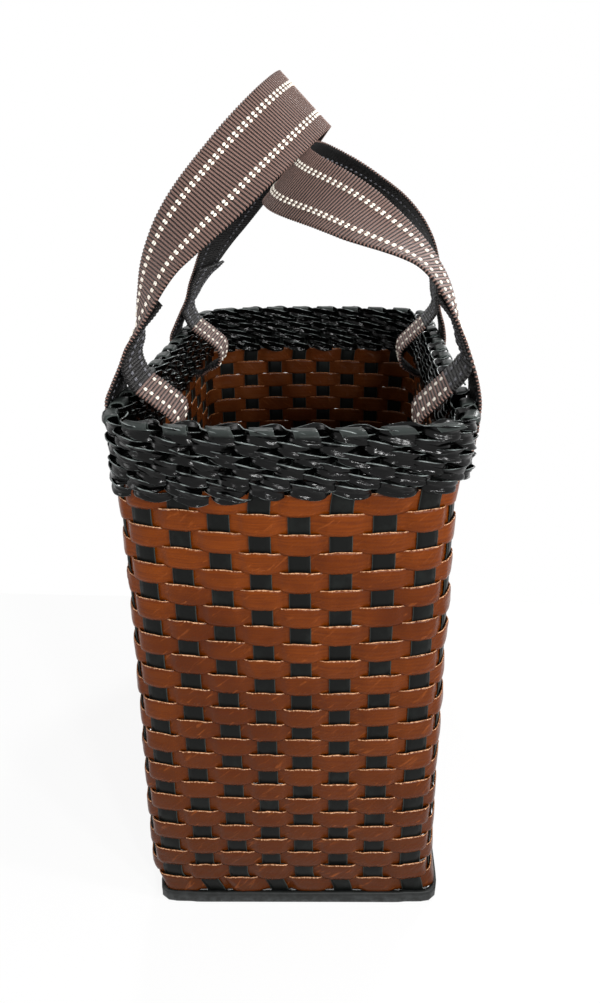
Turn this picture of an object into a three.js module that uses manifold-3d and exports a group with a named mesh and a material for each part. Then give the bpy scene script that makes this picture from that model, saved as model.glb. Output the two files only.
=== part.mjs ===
// A tall picnic basket woven from flat plastic strapping, with two carrying straps of webbing.
// Millimetres, +Z up, +X to the basket's right, +Y along its length, origin under its middle.
import * as THREE from "three";
import { mergeGeometries, mergeVertices } from "three/addons/utils/BufferGeometryUtils.js";
import Module from "manifold-3d";

const wasm = await Module();
wasm.setup();

// Plan of the wall, measured to the middle of the stakes
const halfWidth = 85.4;
const halfLength = 154.8;
const cornerRadius = 22;
const endRadius = 320; // the end walls bow out a little
const gap = 0.3; // what neighbouring pieces keep free

// Strapping
const stakesPerQuarter = 11;
const endStakesPerQuarter = 4;
const stakeWidth = 11;
const stakeThickness = 0.6;
const weaverWidth = 10.25;
const weaverThickness = 0.6;
const weaverRows = 25;

// Foot and floor
const baseHeight = 8.5;
const baseThickness = 1.2;
const baseEdge = 1.2; // rounding of the lower outer edge
const groundClearance = 0.4; // under the lowest floor strap
const stakeBend = 6; // where a stake turns from the floor into the wall
const stakeTwistRun = 14; // where a corner stake turns to face the wall

// Twined rim
const rimRows = 6;
const rimRowHeight = 5.35;
const rimOutside = 6; // from the middle of the stakes
const rimInside = 4.5;
const stitchRelief = 1.4;
const stitchSlant = 0.5; // of a half stitch, from one row to the next
const tabRise = 1.2; // of a folded stake end over the rim
const tabDrop = 5;

// Webbing
const webbingWidth = 38;
const webbingThickness = 1.5;
const sewnThickness = 3.2; // two layers and their stitching
const sewnLength = 24;
const gatheredThickness = 4; // where a loop goes between two stakes
const nearLoopInset = 56.8; // of the near loops' middle from the end wall
const farLoopInset = 96.8;
const foldHeight = 16; // of a loop's top over the rim
const slackDrop = 8; // of a loop's inner leg's widest place under the rim's top

// How each strap hangs: where its fold is inside the wall's middle, how far its loops' slack legs
// reach in, its crest's height and reach inwards, and the line that it falls in, as shares of that
// reach, the loops' spacing and that height. The twist is the angle of the webbing's width about
// that line.
const straps = {
  left: {
    side: -1,
    foldInset: 2.9,
    slackReach: 24.4,
    crestReach: 81,
    crestHeight: 116,
    line: [
      { inward: 0, along: 0, rise: 0, twist: 90 },
      { inward: 0.247, along: 0.013, rise: 0.422, twist: 131 },
      { inward: 0.667, along: 0.096, rise: 0.759, twist: 179 },
      { inward: 1, along: 0.321, rise: 1, twist: 218 },
      { inward: 0.988, along: 0.635, rise: 0.991, twist: 214 },
      { inward: 0.654, along: 0.84, rise: 0.724, twist: 152 },
      { inward: 0.284, along: 0.942, rise: 0.371, twist: 118 },
      { inward: 0, along: 1, rise: 0, twist: 90 },
    ],
  },
  right: {
    side: 1,
    foldInset: -0.6,
    slackReach: 20.9,
    crestReach: 88,
    crestHeight: 85,
    line: [
      { inward: 0, along: 0, rise: 0, twist: 90 },
      { inward: 0.216, along: 0.051, rise: 0.518, twist: 119 },
      { inward: 0.636, along: 0.186, rise: 0.812, twist: 182 },
      { inward: 1, along: 0.417, rise: 0.953, twist: 222 },
      { inward: 0.943, along: 0.718, rise: 1, twist: 222 },
      { inward: 0.5, along: 0.891, rise: 0.882, twist: 153 },
      { inward: 0.08, along: 0.955, rise: 0.529, twist: 101 },
      { inward: 0, along: 1, rise: 0, twist: 90 },
    ],
  },
};
const strapStations = 28;

// What follows from those sizes
const bowAngle = Math.asin((halfWidth - cornerRadius) / (endRadius - cornerRadius));
const cornerCentre = new THREE.Vector2(
  halfWidth - cornerRadius,
  halfLength - endRadius + (endRadius - cornerRadius) * Math.cos(bowAngle),
);
const bowLength = endRadius * bowAngle;
const cornerLength = cornerRadius * (Math.PI / 2 - bowAngle);
const quarterLength = bowLength + cornerLength + cornerCentre.y;
const pitch = quarterLength / stakesPerQuarter;
const stakeCount = 4 * stakesPerQuarter;
const stakeClear = (stakeThickness + weaverThickness) / 2 + gap;
const floorClear = stakeThickness + gap;
const floorSwing = floorClear / (1 - stakeWidth / pitch);
const floorZ = groundClearance + floorSwing + stakeThickness / 2;
const rowPitch = weaverWidth + gap;
const weaveBottom = baseHeight + gap;
const rimBottom = weaveBottom + weaverRows * rowPitch;
const rimTop = rimBottom + rimRows * rimRowHeight;
const tabOutside = rimOutside + gap + stakeThickness;
const legOutside = tabOutside + gap + webbingThickness / 2;
const gatheredWidth = pitch - stakeWidth - 2 * gap;
const nearLoopY = nearLoopInset - halfLength;
const farLoopY = halfLength - farLoopInset;
const up = new THREE.Vector3(0, 0, 1);
const alongBasket = new THREE.Vector3(0, 1, 0);
const acrossBasket = new THREE.Vector3(1, 0, 0);

// A place on the wall's plan, at a length from the middle of the far end, turning towards +X.
function wallPlace(length) {
  const whole = 4 * quarterLength;
  const turned = ((length % whole) + whole) % whole;
  const quarter = Math.floor(turned / quarterLength) % 4;
  const within = turned - quarter * quarterLength;
  const s = quarter % 2 === 0 ? within : quarterLength - within;
  const sideX = quarter < 2 ? 1 : -1;
  const sideY = quarter === 0 || quarter === 3 ? 1 : -1;
  const onCorner = s > bowLength && s < bowLength + cornerLength;
  let angle = Math.PI / 2;
  let x = halfWidth;
  let y = cornerCentre.y - (s - bowLength - cornerLength);
  if (s <= bowLength) {
    angle = s / endRadius;
    x = endRadius * Math.sin(angle);
    y = halfLength - endRadius * (1 - Math.cos(angle));
  } else if (onCorner) {
    angle = bowAngle + (s - bowLength) / cornerRadius;
    x = cornerCentre.x + cornerRadius * Math.sin(angle);
    y = cornerCentre.y + cornerRadius * Math.cos(angle);
  }
  const point = new THREE.Vector3(sideX * x, sideY * y, 0);
  const normal = new THREE.Vector3(sideX * Math.sin(angle), sideY * Math.cos(angle), 0);
  const tangent = new THREE.Vector3(normal.y, -normal.x, 0);
  return { point, normal, tangent, onCorner };
}

const stakePlaces = [];
for (let k = 0; k < stakeCount; k++) stakePlaces.push(wallPlace((k + 0.5) * pitch));

// The point beside a place on the wall, so far along it, out of it and up.
function beside(place, along, out, z) {
  return place.point.clone()
    .addScaledVector(place.tangent, along)
    .addScaledVector(place.normal, out)
    .setZ(z);
}

// A geometry from shared points and triangles, turned so that its faces point out.
function closedGeometry(points, triangles) {
  let volume = 0;
  for (const [a, b, c] of triangles) {
    volume += points[a].dot(new THREE.Vector3().crossVectors(points[b], points[c]));
  }
  const index = triangles.flatMap(([a, b, c]) => (volume > 0 ? [a, b, c] : [a, c, b]));
  const geometry = new THREE.BufferGeometry().setFromPoints(points);
  geometry.setIndex(index);
  return geometry;
}

// A surface lofted through rings of points. flip says which quads are split the other way.
function loft(rings, closed, flip = () => false) {
  const sides = rings[0].length;
  const triangles = [];
  const spans = closed ? rings.length : rings.length - 1;
  for (let i = 0; i < spans; i++) {
    const here = i * sides;
    const next = ((i + 1) % rings.length) * sides;
    for (let j = 0; j < sides; j++) {
      const k = (j + 1) % sides;
      const [a, b, c, d] = [here + j, here + k, next + k, next + j];
      if (flip(i, j)) triangles.push([a, b, d], [b, c, d]);
      else triangles.push([a, b, c], [a, c, d]);
    }
  }
  if (!closed) {
    const last = (rings.length - 1) * sides;
    for (let j = 1; j < sides - 1; j++) {
      triangles.push([0, j + 1, j], [last, last + j, last + j + 1]);
    }
  }
  return closedGeometry(rings.flat(), triangles);
}

// A flat strip bent through stations, each with its middle, the direction of its width and its
// sizes. Every bend is mitred, so that the strip keeps its thickness.
function strip(stations, closed = false) {
  const count = stations.length;
  const rings = stations.map(({ at, across, width, thickness }, i) => {
    const before = stations[closed ? (i + count - 1) % count : Math.max(i - 1, 0)].at;
    const after = stations[closed ? (i + 1) % count : Math.min(i + 1, count - 1)].at;
    const arriving = at.clone().sub(before).normalize();
    const leaving = after.clone().sub(at).normalize();
    const travel = arriving.clone().add(leaving).normalize();
    const face = new THREE.Vector3().crossVectors(travel, across).normalize();
    const mitre = Math.max(travel.dot(leaving), travel.dot(arriving));
    const corners = [[-1, -1], [1, -1], [1, 1], [-1, 1]];
    return corners.map(([w, t]) => at.clone()
      .addScaledVector(across, (w * width) / 2)
      .addScaledVector(face, (t * thickness) / 2 / mitre));
  });
  // Both faces are split along the same diagonal, which keeps a twisted strip's thickness
  return loft(rings, closed, (i, j) => j === 2);
}

// Where the straight line through two points of the plan meets the line through two others.
function crossing(a, b, c, d) {
  const ab = b.clone().sub(a);
  const cd = d.clone().sub(c);
  const ac = c.clone().sub(a);
  const share = (ac.x * cd.y - ac.y * cd.x) / (ab.x * cd.y - ab.y * cd.x);
  return a.clone().addScaledVector(ab, share);
}

// One weaver: a closed ring that goes outside every other stake and inside the rest. It bears on
// the stakes' edges, and over a corner stake it also lies along the stake's face.
function weaverRing(row) {
  const z = weaveBottom + (row + 0.5) * rowPitch - gap / 2;
  const edge = stakeWidth / 2 + gap;
  const sideOf = (k) => ((k + row) % 2 === 0 ? -1 : 1);
  const bearing = (k, direction) => {
    const place = stakePlaces[(k + stakeCount) % stakeCount];
    const reach = place.onCorner && sideOf(k + stakeCount) < 0 ? 0 : direction * edge;
    return beside(place, reach, sideOf(k + stakeCount) * stakeClear, z);
  };
  const stations = [];
  stakePlaces.forEach((place, k) => {
    const first = bearing(k, -1);
    const second = bearing(k, 1);
    if (!place.onCorner) stations.push(crossing(bearing(k - 1, 1), first, second, bearing(k + 1, -1)));
    else if (sideOf(k) > 0) stations.push(first, second);
    else stations.push(first);
  });
  return strip(
    stations.map((at) => ({ at, across: up, width: weaverWidth, thickness: weaverThickness })),
    true,
  );
}

// A stake's leg from the floor to its folded end: up inside the wall, through the rim, over its
// top and down outside. Corner stakes turn towards the wall before they bend up.
function stakeLeg(place, floorDirection, level) {
  const legEnd = rimTop + tabRise;
  const turned = place.tangent.clone();
  if (turned.dot(floorDirection) < 0) turned.negate();
  const route = [
    [-stakeBend, level],
    [-stakeBend * (1 - Math.SQRT1_2), level + stakeBend * (1 - Math.SQRT1_2)],
    [0, level + stakeBend],
    [0, legEnd],
    [tabOutside - stakeThickness / 2, legEnd],
    [tabOutside - stakeThickness / 2, rimTop - tabDrop],
  ];
  return route.map(([out, z]) => ({ at: beside(place, 0, out, z), across: turned }));
}

// A stake: two legs joined through the floor, where it passes the given crossings.
function stakeStrip(fromPlace, toPlace, widthDirection, level, crossings) {
  const legA = stakeLeg(fromPlace, widthDirection, level(0)).reverse();
  const legB = stakeLeg(toPlace, widthDirection, level(1));
  const run = toPlace.point.clone().sub(fromPlace.point).normalize();
  const floor = crossings.map(({ along, z }) => ({
    at: fromPlace.point.clone().addScaledVector(run, along).setZ(z),
    across: widthDirection,
  }));
  return strip([...legA, ...floor, ...legB].map((station) => ({
    ...station,
    width: stakeWidth,
    thickness: stakeThickness,
  })));
}

// A crosswise stake lies level in the floor.
function crosswiseStake(k) {
  const from = stakePlaces[k];
  const to = stakePlaces[stakeCount - 1 - k];
  const length = from.point.distanceTo(to.point);
  const turn = stakeBend + stakeTwistRun;
  const crossings = from.onCorner
    ? [{ along: turn, z: floorZ }, { along: length - turn, z: floorZ }]
    : [];
  return stakeStrip(from, to, alongBasket, () => floorZ, crossings);
}

// A lengthwise stake goes over one crosswise stake and under the next.
function lengthwiseStake(k) {
  const from = stakePlaces[(k + stakeCount) % stakeCount];
  const to = stakePlaces[2 * stakesPerQuarter - 1 - k];
  const crossings = [];
  for (let m = endStakesPerQuarter; m < 2 * stakesPerQuarter - endStakesPerQuarter; m++) {
    const over = (m + k) % 2 === 0 ? 1 : -1;
    const along = from.point.y - stakePlaces[m].point.y;
    crossings.push({ along, z: floorZ + over * floorSwing, over });
  }
  const ends = [crossings[0].over, crossings[crossings.length - 1].over];
  return stakeStrip(from, to, acrossBasket, (end) => floorZ + ends[end] * floorClear, crossings);
}

// Lengths along the plan at which a smooth hoop has its sections.
function hoopLengths() {
  const bowSteps = 3;
  const cornerSteps = 5;
  const quarter = [];
  for (let i = 0; i < bowSteps; i++) quarter.push((i * bowLength) / bowSteps);
  for (let i = 0; i <= cornerSteps; i++) quarter.push(bowLength + (i * cornerLength) / cornerSteps);
  const mirrored = quarter.slice(1).map((s) => 2 * quarterLength - s).reverse();
  const half = [...quarter, ...mirrored];
  return [...half, ...half.map((s) => s + 2 * quarterLength)];
}

// The base band stands on the ground round the bent stakes. Its foot reaches in under their bend.
function baseBand() {
  const cornerSag = stakeWidth ** 2 / (8 * cornerRadius);
  const inside = stakeThickness / 2 + cornerSag + 1.7 * gap;
  const outside = inside + baseThickness;
  const profile = [
    [outside, baseHeight],
    [outside, baseEdge],
    [outside - baseEdge * (1 - Math.SQRT1_2), baseEdge * (1 - Math.SQRT1_2)],
    [outside - baseEdge, 0],
    [-baseThickness, 0],
    [inside, floorZ + stakeBend - 1.6],
    [inside, baseHeight],
  ];
  const rings = hoopLengths().map((s) => {
    const place = wallPlace(s);
    return profile.map(([out, z]) => beside(place, 0, out, z));
  });
  return loft(rings, true);
}

// A manifold-3d solid of a geometry, and a geometry of such a solid.
function solidOf(geometry) {
  const bare = geometry.clone();
  bare.deleteAttribute("normal");
  bare.deleteAttribute("uv");
  const merged = mergeVertices(bare, 1e-4);
  return new wasm.Manifold(new wasm.Mesh({
    numProp: 3,
    vertProperties: merged.attributes.position.array,
    triVerts: new Uint32Array(merged.index.array),
  }));
}

function geometryOf(solid) {
  const mesh = solid.getMesh();
  const geometry = new THREE.BufferGeometry();
  geometry.setAttribute("position", new THREE.BufferAttribute(mesh.vertProperties, 3));
  geometry.setIndex(new THREE.BufferAttribute(mesh.triVerts, 1));
  return geometry;
}

// A box whose middle lies beside a place on the wall.
function boxBeside(place, out, z, alongSize, outSize, height) {
  const box = new THREE.BoxGeometry(alongSize, outSize, height);
  box.rotateZ(Math.atan2(place.tangent.y, place.tangent.x));
  box.translate(...beside(place, 0, out, z).toArray());
  return box;
}

// The middle of the gap between stakes that is nearest to a loop, on the left or the right wall.
function gapPlace(side, y) {
  const steps = Math.round(y / pitch);
  const sideMiddle = side > 0 ? quarterLength : 3 * quarterLength;
  return wallPlace(sideMiddle - side * steps * pitch);
}

// The twined rim: rows of slanted stitches outside, with a slot for each stake and a notch under
// each loop, where the webbing goes through.
function twinedRim() {
  const columns = 2 * stakeCount;
  const rings = [];
  for (let i = 0; i < columns; i++) {
    const ring = [];
    for (let j = 0; j <= rimRows; j++) {
      const place = wallPlace((i - stitchSlant * j) * (pitch / 2));
      const out = rimOutside - ((i + j) % 2) * stitchRelief;
      ring.push(beside(place, 0, out, rimBottom + j * rimRowHeight));
    }
    const inner = wallPlace((i - (stitchSlant * rimRows) / 2) * (pitch / 2));
    ring.push(beside(inner, 0, -rimInside, rimTop), beside(inner, 0, -rimInside, rimBottom));
    rings.push(ring);
  }
  const band = solidOf(loft(rings, true, (i, j) => j < rimRows && (i + j) % 2 === 1));
  const rimMiddle = (rimTop + rimBottom) / 2;
  const slotHeight = rimTop - rimBottom + 4 * gap;
  const slots = stakePlaces.map((place) => boxBeside(
    place, 0, rimMiddle, stakeWidth + 2 * gap, stakeThickness + 2 * gap, slotHeight,
  ));
  const slotted = band.subtract(solidOf(mergeGeometries(slots)));
  const notchOut = (rimOutside - rimInside) / 2;
  const notches = [-1, 1].flatMap((side) => [nearLoopY, farLoopY].map((y) => boxBeside(
    gapPlace(side, y), notchOut, rimBottom, gatheredWidth + 2 * gap,
    rimOutside + rimInside + 2 * gap, 2 * (gatheredThickness + 2 * gap),
  )));
  return geometryOf(slotted.subtract(solidOf(mergeGeometries(notches))));
}

// Where a strap's loop is folded, and where the strap itself swings just above it.
const foldZ = rimTop + foldHeight;
const hingeZ = foldZ + webbingThickness + sewnThickness / 2 + gap;

function foldX(strap) {
  return strap.side * (halfWidth - strap.foldInset);
}

// A loop of webbing: through the notch, up outside the rim, over the fold, and slack down inside.
function strapLoop(strap, y) {
  const passage = gapPlace(strap.side, y).point.y;
  const gatheredZ = rimBottom + gap + gatheredThickness / 2;
  const wallX = (out) => strap.side * (halfWidth + out);
  const flare = (share) => ({
    y: THREE.MathUtils.lerp(passage, y, share),
    width: THREE.MathUtils.lerp(gatheredWidth, webbingWidth, share),
    thickness: THREE.MathUtils.lerp(gatheredThickness, webbingThickness, Math.sqrt(share)),
  });
  const innerLegZ = rimTop - slackDrop;
  const turn = gatheredThickness / 2;
  const route = [
    [wallX(-rimInside - turn), gatheredZ, 0],
    [wallX(rimOutside + turn), gatheredZ, 0],
    [wallX(legOutside), gatheredZ + 1.3 * gatheredThickness, 0.35],
    [wallX(legOutside), gatheredZ + 3.5 * gatheredThickness, 1],
    [wallX(legOutside), rimTop + webbingThickness, 1],
    [foldX(strap), foldZ, 1],
    [wallX(-strap.slackReach), innerLegZ, 1],
    [wallX(-0.86 * strap.slackReach), innerLegZ - 1.2 * slackDrop, 0.9],
    [wallX(-rimInside - 2 * gatheredThickness), gatheredZ + gatheredThickness, 0.35],
  ];
  return strip(route.map(([x, z, share]) => {
    const { y: middle, width, thickness } = flare(share);
    return { at: new THREE.Vector3(x, middle, z), across: alongBasket, width, thickness };
  }), true);
}

// A carrying strap, modelled about its hinge, which is at the near loop's fold. Its ends are two
// layers sewn together, rounded about the hinge, with their width along it.
function carryingStrap(strap) {
  const inwards = -strap.side;
  const points = strap.line.map(({ inward, along, rise }) => new THREE.Vector3(
    inwards * inward * strap.crestReach, along * (farLoopY - nearLoopY), rise * strap.crestHeight,
  ));
  const line = new THREE.CatmullRomCurve3(points, false, "catmullrom", 0.5);
  const turns = new THREE.SplineCurve(strap.line.map(({ twist }) => new THREE.Vector2(twist, 0)));
  const length = line.getLength();
  const stations = [];
  for (let i = 0; i <= strapStations; i++) {
    const share = i / strapStations;
    const t = line.getUtoTmapping(share);
    const travel = line.getTangent(t);
    const level = new THREE.Vector3(inwards, 0, 0).projectOnPlane(travel).normalize();
    const angle = inwards * THREE.MathUtils.degToRad(turns.getPoint(t).x);
    const fromEnd = Math.min(share, 1 - share) * length;
    const free = THREE.MathUtils.smoothstep(fromEnd, 0, sewnLength);
    const sewn = alongBasket.clone().multiplyScalar(share < 0.5 ? 1 : -1);
    stations.push({
      at: line.getPoint(t),
      across: sewn.lerp(level.applyAxisAngle(travel, angle), free).normalize(),
      width: webbingWidth,
      thickness: fromEnd < sewnLength ? sewnThickness : webbingThickness,
    });
  }
  return strip([...roundedEnd(stations[0], stations[1]).reverse(), ...stations,
    ...roundedEnd(stations[strapStations], stations[strapStations - 1])]);
}

// Two stations beyond a sewn end that round it about the hinge.
function roundedEnd(end, inner) {
  const outwards = end.at.clone().sub(inner.at).normalize();
  const radius = sewnThickness / 2;
  return [45, 80].map((degrees) => {
    const angle = THREE.MathUtils.degToRad(degrees);
    return {
      ...end,
      at: end.at.clone().addScaledVector(outwards, radius * Math.sin(angle)),
      thickness: 2 * radius * Math.cos(angle),
    };
  });
}

// Finishes
const darkStrap = new THREE.MeshStandardMaterial({ color: 0x232524, roughness: 0.55, metalness: 0 });
const brownStrap = new THREE.MeshStandardMaterial({ color: 0x7c3f1c, roughness: 0.35, metalness: 0 });
const glossyBlack = new THREE.MeshStandardMaterial({ color: 0x1b1e1d, roughness: 0.25, metalness: 0 });
const scuffedGrey = new THREE.MeshStandardMaterial({ color: 0x3a3c3b, roughness: 0.6, metalness: 0 });
const webbing = new THREE.MeshStandardMaterial({ color: 0x5a4642, roughness: 0.85, metalness: 0 });

const basket = new THREE.Group();

function add(name, geometry, material) {
  const mesh = new THREE.Mesh(geometry, material);
  mesh.name = name;
  basket.add(mesh);
  return mesh;
}

// Pads a count to two figures for a name.
function numbered(name, count) {
  return name + "_" + String(count).padStart(2, "0");
}

add("base_band", baseBand(), scuffedGrey);
add("twined_rim", twinedRim(), glossyBlack);
for (let row = 0; row < weaverRows; row++) {
  add(numbered("weaver", row + 1), weaverRing(row), brownStrap);
}

// Lengthwise stakes from left to right, and crosswise stakes from far to near
for (let k = -endStakesPerQuarter; k < endStakesPerQuarter; k++) {
  add(numbered("lengthwise_stake", k + endStakesPerQuarter + 1), lengthwiseStake(k), darkStrap);
}
for (let k = endStakesPerQuarter; k < 2 * stakesPerQuarter - endStakesPerQuarter; k++) {
  add(numbered("crosswise_stake", k - endStakesPerQuarter + 1), crosswiseStake(k), darkStrap);
}

for (const [name, strap] of Object.entries(straps)) {
  add(name + "_near_loop", strapLoop(strap, nearLoopY), webbing);
  add(name + "_far_loop", strapLoop(strap, farLoopY), webbing);
  add(name + "_handle", carryingStrap(strap), webbing).position.set(foldX(strap), nearLoopY, hingeZ);
}

export default basket;
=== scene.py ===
"""The looks of the picnic basket: glossy brown strapping woven round dark stakes, a twined rim of
crumpled black strapping, and two carrying straps of ribbed webbing. Sizes are in millimetres,
and those of the stage, the lamps and the camera in metres."""
import math
import random

import bmesh
import bpy
from mathutils import Matrix, Vector, noise


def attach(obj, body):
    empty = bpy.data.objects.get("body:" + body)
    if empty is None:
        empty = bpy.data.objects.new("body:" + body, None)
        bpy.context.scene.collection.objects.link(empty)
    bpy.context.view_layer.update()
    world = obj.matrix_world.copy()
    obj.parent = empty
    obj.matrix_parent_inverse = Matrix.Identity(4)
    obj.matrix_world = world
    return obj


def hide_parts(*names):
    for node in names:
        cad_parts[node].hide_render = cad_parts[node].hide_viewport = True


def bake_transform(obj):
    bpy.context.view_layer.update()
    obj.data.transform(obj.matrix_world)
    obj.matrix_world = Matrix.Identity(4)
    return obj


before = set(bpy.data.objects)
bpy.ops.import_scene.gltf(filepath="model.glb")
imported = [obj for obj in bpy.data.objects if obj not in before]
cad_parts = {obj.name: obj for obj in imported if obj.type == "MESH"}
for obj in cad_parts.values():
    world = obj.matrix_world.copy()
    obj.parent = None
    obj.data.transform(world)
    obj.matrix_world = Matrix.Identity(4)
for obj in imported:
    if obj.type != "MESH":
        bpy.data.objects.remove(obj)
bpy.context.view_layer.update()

MM = 0.001

# The wall's plan, as the solids have it
HALF_WIDTH = 85.4
HALF_LENGTH = 154.8
CORNER_RADIUS = 22
END_RADIUS = 320
STAKES_PER_QUARTER = 11
END_STAKES = 4
STAKES = 4 * STAKES_PER_QUARTER
BOW_ANGLE = math.asin((HALF_WIDTH - CORNER_RADIUS) / (END_RADIUS - CORNER_RADIUS))
CORNER_X = HALF_WIDTH - CORNER_RADIUS
CORNER_Y = HALF_LENGTH - END_RADIUS + (END_RADIUS - CORNER_RADIUS) * math.cos(BOW_ANGLE)
BOW_LENGTH = END_RADIUS * BOW_ANGLE
CORNER_LENGTH = CORNER_RADIUS * (math.pi / 2 - BOW_ANGLE)
QUARTER = BOW_LENGTH + CORNER_LENGTH + CORNER_Y
AROUND = 4 * QUARTER
PITCH = AROUND / STAKES

# How far the handmade wall is from that plan, and the heights between which that fades out
NEAR_CREEP = (0, 0, -0.5, -0.6, -0.8, -2, -1.9, -1.1, 0.8, 0)
FOOT_LEAN = 1.8
FOOT_NARROWING = 0.03
FOOT_FADE = (7, 24)
WALL_LEAN = 2.5
LEAN_FADE = (262, 284)
FOOT_SKEW = 0.045
SKEW_FADE = (0, 260)
CORNER_POWER = 6
WALL_SQUARENESS = 0.55
FOOT_SQUARENESS = 0.45
SQUARE_FADE = (20, 240)
END_REACH = (CORNER_Y - 4, CORNER_Y + 16)

# Strapping
STAKE_WIDTH = 11.2
STRAP_THICKNESS = 0.6
WEAVER_ROWS = 25
WEAVER_WIDTH = 10.5
ROW_PITCH = 10.55
WEAVE_BOTTOM = 8.8
OUTWARD_SWING = 1.6
INWARD_SWING = 0.9
BASE_HEIGHT = 8.5
BASE_OUTSIDE = 2.7
FLOOR_Z = 2.66
FLOOR_SWING = 1.35
FLOOR_CLEARANCE = 0.3
STAKE_BEND = 6
TWIST_RUN = 14
RIM_BOTTOM = WEAVE_BOTTOM + WEAVER_ROWS * ROW_PITCH
RIM_ROWS = 6
RIM_ROW_HEIGHT = 5.35
RIM_TOP = RIM_BOTTOM + RIM_ROWS * RIM_ROW_HEIGHT

# Webbing
WEBBING_WIDTH = 38
WEBBING_THICKNESS = 1.5
RIB_PITCH = 1.85
SECTION_STEP = RIB_PITCH / 4
STITCH_PITCH = 2 * RIB_PITCH
SEWN_LENGTH = 24
TAB_LENGTH = 35
NEAR_LOOP_Y = -98
FAR_LOOP_Y = 58
FOLD_Z = RIM_TOP + 16
HINGE_Z = FOLD_Z + 3.4
LEG_OUTSIDE = 7.95
GATHERED_WIDTH = 8.8
GATHERED_Z = RIM_BOTTOM + 2.3

# How each carrying strap hangs. Its folds lie by its inset inside the wall's middle, and the slack
# legs of its loops reach in by its reach. A point of its line is how far it is inwards, along and up
# from its near fold, with the turn of its width about the line in degrees.
STRAPS = {
    "left": {
        "side": -1, "inset": 0.9, "reach": 24.4, "body": "left_strap",
        "line": [(0, 0, 0, 90), (19, 2, 49, 131), (55, 15, 89, 182), (85, 51, 119, 218),
                 (84, 99, 119, 220), (56, 131, 86, 155), (25, 147, 43, 119), (0, 156, 0, 90)],
    },
    "right": {
        "side": 1, "inset": -3.4, "reach": 20.9, "body": "right_strap",
        "line": [(0, 0, 0, 90), (18, 9, 43, 115), (59, 29, 69, 182), (94, 64, 84, 223),
                 (88, 111, 89, 221), (48, 138, 76, 153), (9, 149, 45, 102), (0, 156, 0, 90)],
    },
}


def wall_place(length):
    """The point on the wall's plan at a length from the far end's middle, and its normal."""
    turned = length % AROUND
    quarter = int(turned // QUARTER) % 4
    within = turned - quarter * QUARTER
    s = within if quarter % 2 == 0 else QUARTER - within
    side_x = 1 if quarter < 2 else -1
    side_y = 1 if quarter in (0, 3) else -1
    if s <= BOW_LENGTH:
        angle = s / END_RADIUS
        x = END_RADIUS * math.sin(angle)
        y = HALF_LENGTH - END_RADIUS * (1 - math.cos(angle))
    elif s < BOW_LENGTH + CORNER_LENGTH:
        angle = BOW_ANGLE + (s - BOW_LENGTH) / CORNER_RADIUS
        x = CORNER_X + CORNER_RADIUS * math.sin(angle)
        y = CORNER_Y + CORNER_RADIUS * math.cos(angle)
    else:
        angle = math.pi / 2
        x = HALF_WIDTH
        y = CORNER_Y - (s - BOW_LENGTH - CORNER_LENGTH)
    normal = Vector((side_x * math.sin(angle), side_y * math.cos(angle), 0))
    return Vector((side_x * x, side_y * y, 0)), normal


def smooth(low, high, value):
    """0 below low, 1 above high and a smooth step in between."""
    share = min(max((value - low) / (high - low), 0), 1)
    return share * share * (3 - 2 * share)


def crowded(length):
    """A length along the wall once the near wall's stakes have crept together as they do."""
    across = (2 * QUARTER - length) / PITCH
    reach = (len(NEAR_CREEP) - 1) / 2
    if abs(across) > reach:
        return length
    share = across + reach
    column = min(int(share), len(NEAR_CREEP) - 2)
    creep = NEAR_CREEP[column] + (NEAR_CREEP[column + 1] - NEAR_CREEP[column]) * smooth(
        0, 1, share - column)
    return length - creep


def settled(x, y, z):
    """Where the handmade wall really stands: it leans a little between foot and rim, its lower
    part is squarer than its top, and its foot is a little narrower and, at the near end, askew."""
    foot = 1 - smooth(*FOOT_FADE, z)
    leaning = FOOT_LEAN * foot - WALL_LEAN * (1 - foot) * (1 - smooth(*LEAN_FADE, z))
    square = 1 - smooth(*SQUARE_FADE, z)
    bow = END_RADIUS - math.sqrt(END_RADIUS ** 2 - min(abs(x), CORNER_X) ** 2)
    at_end = smooth(*END_REACH, abs(y))
    past_x = max(abs(x) - CORNER_X, 0)
    past_y = max(abs(y) - CORNER_Y, 0)
    squarer = 0
    if past_x and past_y:
        across = math.hypot(past_x, past_y)
        power = (past_x / across) ** CORNER_POWER + (past_y / across) ** CORNER_POWER
        squarer = power ** (-1 / CORNER_POWER) - 1
        squarer *= WALL_SQUARENESS * square + FOOT_SQUARENESS * foot
    new_y = y + math.copysign(square * bow * at_end + past_y * squarer, y)
    if y < 0:
        new_y += FOOT_SKEW * x * at_end * (1 - smooth(*SKEW_FADE, z))
    new_x = x * (1 - FOOT_NARROWING * foot) + math.copysign(past_x * squarer, x) + leaning
    return Vector((new_x, new_y, z))


def beside(length, out, z):
    """The point beside the wall at a length, so far out of it and up."""
    point, normal = wall_place(crowded(length))
    return settled(point.x + normal.x * out, point.y + normal.y * out, z)


def uneven(spot, grain, seed):
    """Smooth noise over the basket's plan, from -1 to 1, with so many grains to a millimetre."""
    return noise.noise(Vector((spot.x * grain, spot.y * grain, seed)))


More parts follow.
